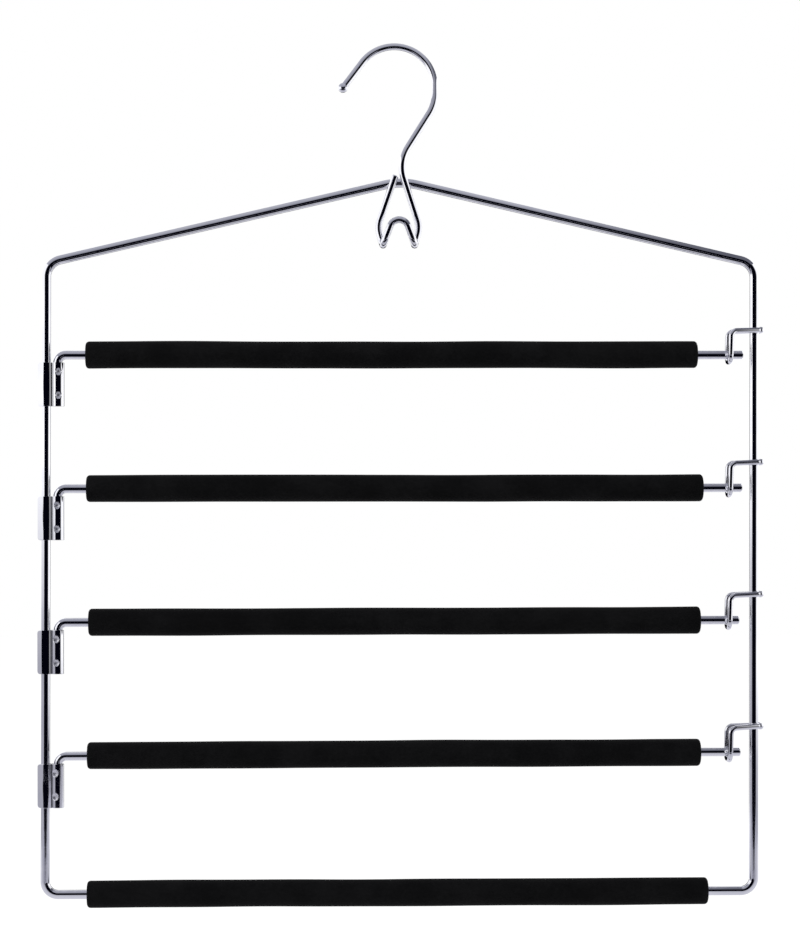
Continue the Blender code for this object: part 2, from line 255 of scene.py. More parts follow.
chromed_wire = new_chrome("chromed wire", haze_depth=1.5e-6, ripple_depth=4e-5)
butt_joint = Vector((middle, frame_y, foot))
loop = WireEnd(butt_joint, butt_joint - Vector((1, 0, 0)), FRAME_WIRE)
loop.follow([
    ((left + FOOT_SHIFTS[0], frame_y, foot), FOOT_BEND),
    ((left + SHOULDER_SHIFTS[0], frame_y, shoulder), CORNER_BEND),
    ((middle, frame_y, peak), PEAK_BEND),
    ((right + SHOULDER_SHIFTS[1], frame_y, shoulder), CORNER_BEND),
    ((right + FOOT_SHIFTS[1], frame_y, foot), FOOT_BEND),
    (butt_joint, 0),
])
new_piece("chromed_frame", loop.shape, chromed_wire, "frame", "frame_wire")

# Hanging hook
# Thinner chromed wire with an upset ball at its tip. It goes over the rail in a crook that leans back, and
# down in front of the frame's peak. There it folds forward into an arch that takes a second hanger, and
# comes up to the peak again.
HOOK_WIRE = 0.0035
CROOK_INNER_RADIUS = 0.0187
CROOK_SIDE_DROP = 0.0040
CROOK_LEAN = math.radians(7)
CROOK_TIP_ANGLE = math.radians(143.4)
CROOK_TIP_LENGTH = 0.0192
TIP_BALL = 0.0050
CROOK_TO_LEGS = 0.0018
NECK_RISE = 0.0093
NECK_BEND = 0.0195
LEG_TOP_RISE = 0.0024
LEG_TOP_INSET = 0.0016
LEG_KNEE_SPREAD = 0.0106
LEG_KNEE_DROP = 0.0237
LEG_KNEE_BEND = 0.0120
FOLD_SPREAD = 0.0080
FOLD_DROP = 0.0333
FOLD_BEND = 0.0040
ARCH_DROP = 0.0122
ARCH_BEND = 0.0047
CUT_CHAMFER = 0.0004
WELD_GAP = 0.0003
DOME_START = math.radians(8)
DOME_STEP = math.radians(9)


def domed(diameter, neck):
    """(Distance, width) pairs of a ball-shaped end, from its pole to a neck of the given width."""
    last = math.pi - math.asin(neck / diameter)
    count = math.ceil((last - DOME_START) / DOME_STEP)
    angles = [DOME_START + (last - DOME_START) * k / count for k in range(count + 1)]
    return [(diameter / 2 * (1 - math.cos(a)), diameter * math.sin(a)) for a in angles]


def start_turned(at, ahead, profile):
    """A wire whose first end is turned to (distance, width) pairs, from a point towards another."""
    at = Vector(at)
    along = (Vector(ahead) - at).normalized()
    end = WireEnd(at + along * profile[0][0], ahead, profile[0][1])
    for distance, width in profile[1:]:
        end.run(at + along * distance, width)
    return end


def finish_turned(end, back, profile):
    """Turns the last end of a wire, which has run to a point from another, to (distance, width) pairs."""
    tip = end.at.copy()
    along = (Vector(back) - tip).normalized()
    last = [vert for edge in end.edges for vert in edge.verts]
    bmesh.ops.translate(end.shape, verts=list(dict.fromkeys(last)), vec=along * profile[-1][0])
    end.at = tip + along * profile[-1][0]
    for distance, width in reversed(profile[:-1]):
        end.run(tip + along * distance, width)
    return end.close()


crook = CROOK_INNER_RADIUS + HOOK_WIRE / 2
lean = Matrix.Rotation(-CROOK_LEAN, 3, "X")
leg_y = frame_y - (FRAME_WIRE + HOOK_WIRE) / 2 - WELD_GAP
neck = Vector((CROOK_TO_LEGS, leg_y, peak + NECK_RISE))
crook_centre = Vector((0, 0, -CROOK_INNER_RADIUS))
side_centre = crook_centre - Vector((0, 0, CROOK_SIDE_DROP))
to_neck = lean.inverted() @ neck - side_centre
side_turn = -math.atan2(to_neck.z, to_neck.x) - math.acos(crook / math.hypot(to_neck.x, to_neck.z))
crook_start = crook_centre + crook * Vector((math.cos(CROOK_TIP_ANGLE), 0, math.sin(CROOK_TIP_ANGLE)))
tip_run = Vector((-math.sin(CROOK_TIP_ANGLE), 0, math.cos(CROOK_TIP_ANGLE)))
hook_tip = crook_start + CROOK_TIP_LENGTH * tip_run
top_left = Vector((-crook * math.tan((CROOK_TIP_ANGLE - math.pi / 2) / 2), 0, HOOK_WIRE / 2))
top_right = Vector((crook, 0, HOOK_WIRE / 2))
side_low = side_centre + Vector((crook, 0, -crook * math.tan(side_turn / 2)))
arch_y = leg_y - 2 * FOLD_BEND
knee = peak - LEG_KNEE_DROP
fold = peak - FOLD_DROP
left_knee = Vector((CROOK_TO_LEGS - LEG_KNEE_SPREAD, leg_y, knee))
leg_top = Vector((CROOK_TO_LEGS - LEG_TOP_INSET, leg_y, peak + LEG_TOP_RISE))

hook = start_turned(lean @ hook_tip, lean @ crook_start, domed(TIP_BALL, HOOK_WIRE))
hook.follow([
    (lean @ top_left, crook),
    (lean @ top_right, crook),
    (lean @ side_low, crook),
    (neck, NECK_BEND),
    ((CROOK_TO_LEGS + LEG_KNEE_SPREAD, leg_y, knee), LEG_KNEE_BEND),
    ((CROOK_TO_LEGS + FOLD_SPREAD, leg_y, fold), FOLD_BEND),
    ((CROOK_TO_LEGS + FOLD_SPREAD, arch_y, fold), FOLD_BEND),
    ((CROOK_TO_LEGS, arch_y, peak - ARCH_DROP), ARCH_BEND),
    ((CROOK_TO_LEGS - FOLD_SPREAD, arch_y, fold), FOLD_BEND),
    ((CROOK_TO_LEGS - FOLD_SPREAD, leg_y, fold), FOLD_BEND),
    (left_knee, LEG_KNEE_BEND),
    (leg_top, 0),
])
cut_end = [(0, HOOK_WIRE - 2 * CUT_CHAMFER), (CUT_CHAMFER, HOOK_WIRE)]
hook_shape = finish_turned(hook, left_knee, cut_end)
new_piece("chromed_hook", hook_shape, chromed_wire, "frame", "hanging_hook")

# Peak welds
# Two small necks of weld metal between the frame's peak and the hook's legs, chromed over with the rest.
WELD_NECK = 0.0009
WELD_FOOT = 0.0014
WELD_LENGTH = 0.0018
WELD_SIDES = 28
WELD_STEP = math.radians(15)
PEAK_WELD_DROP = 0.0011


def weld(name, at):
    """A waisted neck of weld metal along Y, whose middle is in the gap between two crossing wires."""
    shape = bmesh.new()
    start = shape.verts.new((WELD_FOOT, -WELD_LENGTH / 2, 0))
    bmesh.ops.spin(shape, geom=[start], cent=(WELD_FOOT, 0, 0), axis=(0, 0, 1), angle=-math.pi,
                   steps=math.ceil(math.pi / WELD_STEP))
    waist = 2 * (WELD_FOOT - WELD_NECK) / WELD_LENGTH
    at_foot = Matrix.Translation((-WELD_FOOT, 0, 0))
    bmesh.ops.scale(shape, verts=shape.verts, vec=(waist, 1, 1), space=at_foot)
    bmesh.ops.spin(shape, geom=shape.verts[:] + shape.edges[:], axis=(0, 1, 0), angle=2 * math.pi,
                   steps=WELD_SIDES, use_merge=True)
    bmesh.ops.holes_fill(shape, edges=shape.edges, sides=WELD_SIDES)
    bmesh.ops.translate(shape, verts=shape.verts, vec=at)
    new_piece(name, shape, chromed_wire, "frame")


weld_y = leg_y + (HOOK_WIRE + WELD_GAP) / 2
weld_reach = LEG_KNEE_SPREAD * (NECK_RISE + PEAK_WELD_DROP) / (NECK_RISE + LEG_KNEE_DROP)
for side, reach in (("left", -weld_reach), ("right", weld_reach)):
    weld(f"peak_weld_{side}", Vector((CROOK_TO_LEGS + reach, weld_y, peak - PEAK_WELD_DROP)))

# Hinge clips
# Folded chromed sheet, crimped round the side wire so that its two edges meet beyond it. Its second barrel
# is the bearing of an arm's stub, and two punched dimples there keep the stub from slipping out.
CLIP_HEIGHT = 0.0222
CLIP_SHEET = 0.0008
CLIP_GAP = 0.0003
ARM_TO_CLIP = 0.0039
STUB_BARREL = 0.0029
CLIP_WEB = math.radians(34.5)
CLIP_VALLEY = 0.0011
WEB_STEPS = 5
CLIP_LIP = 0.0007
LIP_STEPS = 10
CLIP_CORNER = 0.0014
CLIP_EDGE = 0.00012
CLIP_EDGE_STEPS = 2
CLIP_EDGE_ANGLE = math.radians(50)
DIMPLE_DROPS = (0.0046, 0.0166)
DIMPLE_BALL = 0.0020
DIMPLE_DEPTH = 0.0009
DIMPLE_TURNS = (math.radians(10), 0.0, math.radians(-5), math.radians(-15))
PRESSES = ((0.00010, 0.0062), (0.00015, 0.0062), (0.00050, 0.0180), (0.00015, 0.0062))
CLIP_SLIPS = (0.0002, 0.0, -0.0002, -0.0002)
SHEET_STEP = math.radians(5)
SHEET_ROWS = 84

barrel = FRAME_WIRE / 2 + CLIP_GAP + CLIP_SHEET / 2
dimple_centre = STUB_BARREL + CLIP_SHEET / 2 + DIMPLE_BALL - DIMPLE_DEPTH
dimple_reach = DIMPLE_BALL + CLIP_SHEET / 2


def fold_round(shape, vert, centre, turn):
    """Carries a sheet's outline on from a vertex, round a centre in plan, and gives the new end."""
    spun = bmesh.ops.spin(shape, geom=[vert], cent=(*centre, 0), axis=(0, 0, 1), angle=turn,
                          steps=math.ceil(abs(turn) / SHEET_STEP))
    return [part for part in spun["geom_last"] if isinstance(part, bmesh.types.BMVert)][0]


def press_straight(shape, vert, step, steps):
    """Carries a sheet's outline on from a vertex, straight along, and gives the new end."""
    drawn = bmesh.ops.spin(shape, geom=[vert], axis=(0, 0, 1), dvec=step / steps, steps=steps)
    return [part for part in drawn["geom_last"] if isinstance(part, bmesh.types.BMVert)][0]


def fold_clip(at, press, dimple_turn):
    """The folded strip of a clip, one sheet thick, whose frame wire runs down from a point at its top."""
    shape = bmesh.new()
    punched = shape.verts.layers.float.new("punched")
    lip = Vector((-barrel - CLIP_LIP, -(CLIP_SHEET + CLIP_GAP) / 2, 0))
    flat_end = math.atan2(-lip.y, -lip.x) + math.acos(barrel / lip.length)
    meeting = -barrel * Vector((math.cos(flat_end), math.sin(flat_end), 0))
    web = Vector((math.cos(CLIP_WEB), math.sin(CLIP_WEB), 0))
    outward = Vector((web.y, -web.x, 0))
    off_web = barrel + CLIP_VALLEY
    off_stub = STUB_BARREL + CLIP_VALLEY
    web_length = HINGE_OFFSET * web.x - math.sqrt(off_stub**2 - (off_web - HINGE_OFFSET * web.y) ** 2)
    valley = off_web * outward + web_length * web
    stub_turn = math.atan2(HINGE_OFFSET - valley.x, -valley.y)
    end = press_straight(shape, shape.verts.new(lip), meeting - lip, LIP_STEPS)
    end = fold_round(shape, end, (0, 0), math.pi / 2 - flat_end + CLIP_WEB)
    end = press_straight(shape, end, web_length * web, WEB_STEPS)
    end = fold_round(shape, end, valley[:2], -CLIP_WEB - stub_turn)
    fold_round(shape, end, (HINGE_OFFSET, 0), math.pi / 2 + stub_turn)
    bmesh.ops.mirror(shape, geom=shape.verts[:] + shape.edges[:], axis="Y", merge_dist=MERGE_DISTANCE)
    outline = shape.verts[:] + shape.edges[:]
    row = (0, 0, -CLIP_HEIGHT / SHEET_ROWS)
    bmesh.ops.spin(shape, geom=outline, axis=(0, 0, 1), dvec=row, steps=SHEET_ROWS)
    middle_height = -CLIP_HEIGHT / 2
    for vert in shape.verts:
        short = min(CLIP_CORNER, max(0, CLIP_CORNER - (vert.co.x - lip.x)))
        trim = CLIP_CORNER - math.sqrt(CLIP_CORNER**2 - short**2)
        vert.co.z = middle_height + (vert.co.z - middle_height) * (1 - 2 * trim / CLIP_HEIGHT)
        if vert.co.y < 0:
            punch(vert, punched, dimple_turn)
            press_flat(vert, *press)
    bmesh.ops.translate(shape, verts=shape.verts, vec=at)
    return shape


def punch(vert, punched, turn):
    """Pushes a point of the stub's barrel that is inside a dimple's ball out to its surface, and marks it."""
    across = HINGE_OFFSET + dimple_centre * math.sin(turn)
    for drop in DIMPLE_DROPS:
        ball = Vector((across, -dimple_centre * math.cos(turn), -drop))
        away = vert.co - ball
        if away.length < dimple_reach:
            vert.co = ball + away.normalized() * dimple_reach
            vert[punched] = 1


def press_flat(vert, depth, reach):
    """Flattens the front of the frame's barrel round mid height, where the crimping tool pressed it."""
    height = (vert.co.z + CLIP_HEIGHT / 2) / reach
    web_depth = math.cos(CLIP_WEB)
    front = max(0, -vert.co.y / barrel - web_depth) / (1 - web_depth)
    if vert.co.x < HINGE_OFFSET / 2:
        vert.co.y += depth * math.exp(-height**2) * front


chromed_sheet = new_chrome("chromed sheet", haze_depth=2.5e-6, ripple_depth=5e-5)
for tier, hinge in enumerate(hinges, start=1):
    clip_top = Vector((left + CLIP_SLIPS[tier - 1], frame_y, hinge.z - ARM_TO_CLIP))
    folded = fold_clip(clip_top, PRESSES[tier - 1], DIMPLE_TURNS[tier - 1])
    clip = new_piece(f"folded_clip_{tier}", folded, chromed_sheet, "frame",
                     f"hinge_clip_{tier}")
    sheet = clip.modifiers.new("sheet", "SOLIDIFY")
    sheet.thickness = CLIP_SHEET
    sheet.offset = 0
    sheet.use_even_offset = True
    edge = clip.modifiers.new("edge", "BEVEL")
    edge.width = CLIP_EDGE
    edge.segments = CLIP_EDGE_STEPS
    edge.limit_method = "ANGLE"
    edge.angle_limit = CLIP_EDGE_ANGLE

# Swing arms
# Chromed wire whose hinge end is bent down into a stub. Two grooves turned in the stub take the dimples of
# its clip, so that the arm swings to the front or the back and stays in place.
ARM_WIRE = 0.0045
ARM_BEND = 0.0043
STUB_GAP = 0.0003
ROD_CHAMFER = 0.0005
FORK_INSET = 0.0131
RODS_PAST_FORK = (0.0071, 0.0065, 0.0049, 0.0054)
ROD_RISES = (0.0, 0.0, 0.0003, 0.0008)

fork_x = right - FORK_INSET
bump = dimple_reach + CLIP_SHEET / 2
groove_floor = dimple_centre - bump - STUB_GAP
groove_half = math.sqrt(bump**2 - (dimple_centre - ARM_WIRE / 2) ** 2) + STUB_GAP
groove_slope = ARM_WIRE / 2 - groove_floor
rod_cut = [(0, ARM_WIRE - 2 * ROD_CHAMFER), (ROD_CHAMFER, ARM_WIRE)]
stub = list(rod_cut)
for drop in reversed(DIMPLE_DROPS):
    groove = CLIP_HEIGHT - STUB_GAP - drop
    stub += [
        (groove - groove_half - groove_slope, ARM_WIRE),
        (groove - groove_half, 2 * groove_floor),
        (groove + groove_half, 2 * groove_floor),
        (groove + groove_half + groove_slope, ARM_WIRE),
    ]
rod_ends = [Vector((fork_x + past_fork, hinge.y, hinge.z + rise))
            for hinge, past_fork, rise in zip(hinges, RODS_PAST_FORK, ROD_RISES)]
for tier, (hinge, rod_end) in enumerate(zip(hinges, rod_ends), start=1):
    stub_end = hinge - Vector((0, 0, ARM_TO_CLIP + CLIP_HEIGHT - STUB_GAP))
    arm = start_turned(stub_end, hinge, stub)
    arm.follow([(hinge, ARM_BEND), (rod_end, 0)])
    new_piece(f"chromed_arm_{tier}", finish_turned(arm, hinge, rod_cut), chromed_wire, f"arm_{tier}",
              f"swing_arm_{tier}")

# Forks
# Thin chromed wires bent double by hand. Their rounded ends curl round the front and the back of the other
# side wire and are welded to it. The front strand spreads as it leaves. Both turn down beside a rod and meet
# under it.
FORK_WIRE = 0.0027
FORK_TIP = 0.0034
FORK_OVERHANG = 0.0044
FORK_RISES = (0.0126, 0.0131, 0.0133, 0.0133)
FORK_REACHES = (0.0133, 0.0132, 0.0134, 0.0133)
FORK_DROOP = 0.0006
FORK_LEAN = 0.0005
FORK_BEND = 0.0030
FORK_FOOT_BEND = 0.0044
FORK_SEAT_GAP = 0.00005
FORK_CURL = math.radians(30)
FRONT_SPLAYS = (math.radians(18), math.radians(13), math.radians(11), math.radians(18))
BACK_SPLAYS = (math.radians(1), math.radians(1), math.radians(1), math.radians(6))

strand = FRAME_WIRE / 2 + WELD_GAP + FORK_WIRE / 2
seat = ARM_WIRE / 2 + FORK_SEAT_GAP + FORK_WIRE / 2
weld_offset = (FRAME_WIRE + WELD_GAP) / 2
fork_end = domed(FORK_TIP, FORK_WIRE)


def along_rod(tier, x):
    """The point on the axis of an arm's rod at this x."""
    hinge = hinges[tier - 1]
    rod_end = rod_ends[tier - 1]
    return hinge.lerp(rod_end, (x - hinge.x) / (rod_end.x - hinge.x))


def on_side_wire(level):
    """The point on the axis of the side wire that carries the forks, at this height."""
    down = (shoulder - level) / (shoulder - foot)
    shift = SHOULDER_SHIFTS[1] + (FOOT_SHIFTS[1] - SHOULDER_SHIFTS[1]) * down
    return Vector((right + shift, frame_y, level))


def strand_corners(side, splay, wire, reach, rod):
    """The tip, curl, bend and foot of a fork's strand, in front of (-1) or behind (1) the side wire."""
    half_turn = (splay + FORK_CURL) / 2
    off_wire = strand / math.cos((FORK_CURL - splay) / 2)
    curl = wire + off_wire * Vector((math.sin(half_turn), side * math.cos(half_turn), 0))
    past_curl = wire.x + FORK_OVERHANG - curl.x
    tip = curl + past_curl * Vector((1, -side * math.tan(FORK_CURL), 0))
    leg = side * (strand / math.cos(splay) + reach * math.tan(splay))
    bend = wire + Vector((FORK_LEAN - reach, leg, -FORK_DROOP))
    return tip, curl, bend, Vector((wire.x - reach, wire.y + leg, rod - seat))


for tier, bends in enumerate(zip(FORK_RISES, FORK_REACHES, FRONT_SPLAYS, BACK_SPLAYS), start=1):
    rise, reach, front_splay, back_splay = bends
    rod = along_rod(tier, fork_x).z
    wire = on_side_wire(rod + rise)
    front_tip, front_curl, front_bend, front_foot = strand_corners(-1, front_splay, wire, reach, rod)
    back_tip, back_curl, back_bend, back_foot = strand_corners(1, back_splay, wire, reach, rod)
    fork = start_turned(front_tip, front_curl, fork_end)
    fork.follow([
        (front_curl, strand),
        (front_bend, FORK_BEND),
        (front_foot, FORK_FOOT_BEND),
        (back_foot, FORK_FOOT_BEND),
        (back_bend, FORK_BEND),
        (back_curl, strand),
        (back_tip, 0),
    ])
    new_piece(f"chromed_fork_{tier}", finish_turned(fork, back_curl, fork_end), chromed_wire, "frame",
              f"arm_fork_{tier}")
    for name, side, splay in (("front", -1, front_splay), ("back", 1, back_splay)):
        off_wire = weld_offset * Vector((math.sin(splay), side * math.cos(splay), 0))
        weld(f"fork_weld_{name}_{tier}", wire + off_wire)

# Foam sleeves
# Closed-cell rubber foam tube, cut to length and pushed over each rod and over the foot of the frame. It is
# matt black, a little uneven along its length, and soft at its cut edges.
SLEEVE_DIAMETER = 0.0138
SLEEVE_EDGE = 0.0018
ARM_SLEEVE_MARGIN = 0.0147
FOOT_SLEEVE_MARGIN = 0.0227
BORE_GAP = 0.0003
SLEEVE_SIDES = 72
SLEEVE_STATION = 0.0035
EDGE_STEPS = 7
SWELL = 0.00022
SAG = 0.00030
ARM_SLIPS = ((-0.0003, -0.0018), (0.0, 0.0010), (0.0010, -0.0005), (0.0003, -0.0005))
FOOT_SLIP = -0.0019
SWELL_ALONG = 22
SWELL_ROUND = 60
SWELL_SEED = 7.3
SAG_ALONG = 14
SAG_SEED = 3.1
SAG_ROW = 0.5
FOAM_DEEP = (0.0016, 0.0016, 0.0018, 1)
FOAM_WORN = (0.0032, 0.0032, 0.0035, 1)
FOAM_WEAR = (0.35, 0.7)
PATCH_SHARE = 0.6
PATCH_SCALE = 60.0
PATCH_DETAIL = 3.0
GRAIN_SHARE = 0.4
GRAIN_SCALE = 700.0
GRAIN_DETAIL = 5.0
GRAIN_DEPTH = 6e-5
CELL_SCALE = 1900.0
CELL_DEPTH = 3e-5
FOAM_ROUGHNESS = 0.72
GRAIN_ROUGHNESS = 0.3
FOAM_SPECULAR = 0.06
FOAM_SHEEN = 0.03
SHEEN_ROUGHNESS = 0.35


def new_foam(name):
    """Matt black foam rubber with a fine closed-cell skin."""
    material, shade = new_material(name)
    place = shade.node("TexCoord", {}, {}, out="Object")
    cells = shade.node("TexVoronoi", {"feature": "SMOOTH_F1"}, {"Vector": place, "Scale": CELL_SCALE})
    grain = shade.node("TexNoise", {}, {"Vector": place, "Scale": GRAIN_SCALE, "Detail": GRAIN_DETAIL})
    patches = shade.node("TexNoise", {}, {"Vector": place, "Scale": PATCH_SCALE, "Detail": PATCH_DETAIL})
    wear = (patches * PATCH_SHARE + grain * GRAIN_SHARE).rise(*FOAM_WEAR)
    height = cells * CELL_DEPTH + grain * GRAIN_DEPTH
    bump = shade.node("Bump", {}, {"Height": height, "Distance": 1.0})
    foam = shade.node("BsdfPrincipled", {}, {
        "Base Color": wear.blend(FOAM_DEEP, FOAM_WORN),
        "Roughness": FOAM_ROUGHNESS + grain * GRAIN_ROUGHNESS,
        "Specular IOR Level": FOAM_SPECULAR,
        "Sheen Weight": FOAM_SHEEN,
        "Sheen Roughness": SHEEN_ROUGHNESS,
        "Normal": bump,
    })
    shade.node("OutputMaterial", {}, {"Surface": foam})
    return material


def cut_sleeve(start, end, bore, seed):
    """A tube of foam along X with soft cut edges, whose outside swells and sags a little."""
    turns = [math.pi / 2 * k / EDGE_STEPS for k in range(EDGE_STEPS + 1)]
    edge = [(SLEEVE_EDGE * (1 - math.cos(turn)), SLEEVE_DIAMETER - 2 * SLEEVE_EDGE * (1 - math.sin(turn)))
            for turn in turns]
    length = (end - start).length
    along = (end - start) / length
    count = round(length / SLEEVE_STATION)
    stations = [SLEEVE_EDGE + (length - 2 * SLEEVE_EDGE) * k / count for k in range(1, count)]
    profile = edge + [(distance, SLEEVE_DIAMETER) for distance in stations]
    profile += [(length - distance, width) for distance, width in reversed(edge)]
    tube = WireEnd(start, end, bore, SLEEVE_SIDES)
    for distance, width in profile:
        tube.run(start + along * distance, width)
    tube.run(end, bore)
    tube.run(start, bore)
    for vert in tube.shape.verts:
        off = vert.co - start.lerp(end, (vert.co.x - start.x) / (end.x - start.x))
        share = max(0, (2 * off.length - bore) / (SLEEVE_DIAMETER - bore))
        round_rod = off.z * SWELL_ROUND + seed * SWELL_SEED
        swell = noise.noise(Vector((vert.co.x * SWELL_ALONG, off.y * SWELL_ROUND, round_rod)))
        sag = noise.noise(Vector((vert.co.x * SAG_ALONG, seed * SAG_SEED, SAG_ROW)))
        vert.co += off.normalized() * swell * SWELL * share + Vector((0, 0, sag * SAG * share))
    return tube.shape


foam = new_foam("black foam")
sleeves = []
for tier, (start_slip, end_slip) in enumerate(ARM_SLIPS, start=1):
    start = along_rod(tier, hinges[0].x + ARM_SLEEVE_MARGIN + start_slip)
    end = along_rod(tier, fork_x - ARM_SLEEVE_MARGIN + end_slip)
    sleeves.append((start, end, ARM_WIRE, f"arm_{tier}"))
foot_start = Vector((left + FOOT_SLEEVE_MARGIN + FOOT_SLIP, frame_y, foot))
foot_end = Vector((right - FOOT_SLEEVE_MARGIN + FOOT_SLIP, frame_y, foot))
sleeves.append((foot_start, foot_end, FRAME_WIRE, "frame"))
for tier, (start, end, wire, body) in enumerate(sleeves, start=1):
    shape = cut_sleeve(start, end, wire + 2 * BORE_GAP, tier)
    tube = new_piece(f"foam_tube_{tier}", shape, foam, body, f"foam_sleeve_{tier}")

# Light tent
# Lit cloth on both sides of the hanger, behind, above and below it, with an open front for the camera. It
# shows in reflections only. The dark room in front is the black line along each wire, and the pale foot of
# that room lightens the lower ends of the side wires.
TENT_SIDE = 0.62
TENT_BACK = 0.46
TENT_LOW = -0.467
TENT_HIGH = 0.23
LEFT_EDGE = -0.60
RIGHT_EDGE = -0.50
CEILING_EDGE = -0.90
FLOOR_EDGE = -0.25
ROOM_FRONT = -1.25
ROOM_LOW = -0.61
ROOM_HIGH = 1.20
ROOM_SIDE = 3.0
WHITE_CLOTH = (1.22, 1.22, 1.24, 1)
SHADED_CLOTH = (0.43, 0.43, 0.49, 1)
GREY_CLOTH = (0.30, 0.305, 0.36, 1)
PALE_CLOTH = (0.50, 0.505, 0.57, 1)
DIM_CLOTH = (0.13, 0.133, 0.165, 1)
FLOOR_CLOTH = (0.74, 0.74, 0.81, 1)
DARK_ROOM = (0.001, 0.001, 0.004, 1)
ROOM_FOOT = (0.42, 0.42, 0.50, 1)
BRIGHT_FOOT = (0.50, 0.50, 0.58, 1)
LEFT_SHADE = (-0.36, -0.19)
RIGHT_SHADE = (-0.44, -0.34)
RIGHT_FADE = (RIGHT_EDGE, -0.20)
OPENING_LEFT = (-0.26, -0.18)
OPENING_RIGHT = (0.18, 0.26)
OPENING_LOW = (-0.46, -0.43)
OPENING_HIGH = (-0.03, 0.01)
CEILING_DEPTH = (-0.7, 0.2)
CEILING_DIM = (0.15, 0.30)
CEILING_FADE = (CEILING_EDGE, -0.76)
FLOOR_FADE = (FLOOR_EDGE, 0.1)
FOOT_TOP = (-0.582, -0.558)
FOOT_STEP = 0.015
FOOT_STEP_AT = (0.25, 0.50)
FOOT_BRIGHTENS = (-0.1, 0.6)
LEFT_GAP = ((-0.38, -0.33), (-0.21, -0.16))
RIGHT_GAP = ((0.23, 0.28), (0.41, 0.46))
LEFT_CORNER = (-0.52, -0.46)
RIGHT_CORNER = (0.52, 0.58)
CORNER_DEPTH = (-0.85, -0.65)


def hang_cloth(name, corner, first, second, glow):
    """A sheet of cloth from a corner along two edges, which glows as a function of its place says."""
    shape = bmesh.new()
    start = shape.verts.new(corner)
    bmesh.ops.spin(shape, geom=[start], axis=(0, 0, 1), dvec=first, steps=1)
    bmesh.ops.spin(shape, geom=shape.verts[:] + shape.edges[:], axis=(0, 0, 1), dvec=second, steps=1)
    mesh = bpy.data.meshes.new(name)
    shape.to_mesh(mesh)
    shape.free()
    material, shade = new_material(name)
    place = shade.node("TexCoord", {}, {}, out="Object")
    x, y, z = (shade.node("SeparateXYZ", {}, {0: place}, out=axis) for axis in range(3))
    light = shade.node("Emission", {}, {"Color": glow(x, y, z), "Strength": 1.0})
    shade.node("OutputMaterial", {}, {"Surface": light})
    mesh.materials.append(material)
    cloth = bpy.data.objects.new(name, mesh)
    bpy.context.scene.collection.objects.link(cloth)
    cloth.visible_camera = False
    cloth.visible_diffuse = False
    cloth.visible_transmission = False
    cloth.visible_shadow = False


def between(value, start, end):
    """1 from one smooth edge to the other, and 0 outside them."""
    return value.rise(*start) * (1 - value.rise(*end))


def left_glow(x, y, z):
    """White, and shaded low down."""
    return z.rise(*LEFT_SHADE).blend(SHADED_CLOTH, WHITE_CLOTH)


def right_glow(x, y, z):
    """White, shaded low down, and fading into the room at its front edge."""
    wall = z.rise(*RIGHT_SHADE).blend(SHADED_CLOTH, WHITE_CLOTH)
    return y.rise(*RIGHT_FADE).blend(DARK_ROOM, wall)


def back_glow(x, y, z):
    """White, with a dark opening behind the hanger."""
    opening = between(x, OPENING_LEFT, OPENING_RIGHT) * between(z, OPENING_LOW, OPENING_HIGH)
    return opening.blend(WHITE_CLOTH, DARK_ROOM)


def ceiling_glow(x, y, z):
    """Paler towards the back, dim on the fork side, and fading into the room at its front edge."""
    cloth = y.rise(*CEILING_DEPTH).blend(GREY_CLOTH, PALE_CLOTH)
    cloth = x.rise(*CEILING_DIM).blend(cloth, DIM_CLOTH)
    return y.rise(*CEILING_FADE).blend(DARK_ROOM, cloth)


def floor_glow(x, y, z):
    """Paler towards the back."""
    return y.rise(*FLOOR_FADE).blend(SHADED_CLOTH, FLOOR_CLOTH)


def foot_glow(x):
    """The pale foot of the room, a little brighter on the fork side."""
    return x.rise(*FOOT_BRIGHTENS).blend(ROOM_FOOT, BRIGHT_FOOT)


def room_front_glow(x, y, z):
    """Dark above the pale foot, and in the two gaps of the foot that the rods would reflect."""
    above = (z + x.rise(*FOOT_STEP_AT) * FOOT_STEP).rise(*FOOT_TOP)
    dark = above + between(x, *LEFT_GAP) + between(x, *RIGHT_GAP)
    return dark.rise(0, 1).blend(foot_glow(x), DARK_ROOM)


def room_floor_glow(x, y, z):
    """Dark, with the pale foot carried on into its two front corners."""
    corners = (1 - x.rise(*LEFT_CORNER) + x.rise(*RIGHT_CORNER)) * (1 - y.rise(*CORNER_DEPTH))
    return corners.rise(0, 1).blend(DARK_ROOM, foot_glow(x))


tent_height = (0, 0, TENT_HIGH - TENT_LOW)
tent_width = (2 * TENT_SIDE, 0, 0)
left_depth = (0, TENT_BACK - LEFT_EDGE, 0)
right_depth = (0, TENT_BACK - RIGHT_EDGE, 0)
ceiling_depth = (0, TENT_BACK - CEILING_EDGE, 0)
floor_depth = (0, TENT_BACK - FLOOR_EDGE, 0)
room_height = (0, 0, ROOM_HIGH - ROOM_LOW)
room_width = (2 * ROOM_SIDE, 0, 0)
room_depth = (0, FLOOR_EDGE - ROOM_FRONT, 0)
room_corner = (-ROOM_SIDE, ROOM_FRONT, ROOM_LOW)
hang_cloth("tent_left", (-TENT_SIDE, LEFT_EDGE, TENT_LOW), left_depth, tent_height, left_glow)
hang_cloth("tent_right", (TENT_SIDE, RIGHT_EDGE, TENT_LOW), right_depth, tent_height, right_glow)
hang_cloth("tent_back", (-TENT_SIDE, TENT_BACK, TENT_LOW), tent_width, tent_height, back_glow)
hang_cloth("tent_ceiling", (-TENT_SIDE, CEILING_EDGE, TENT_HIGH), tent_width, ceiling_depth, ceiling_glow)
hang_cloth("tent_floor", (-TENT_SIDE, FLOOR_EDGE, TENT_LOW), tent_width, floor_depth, floor_glow)
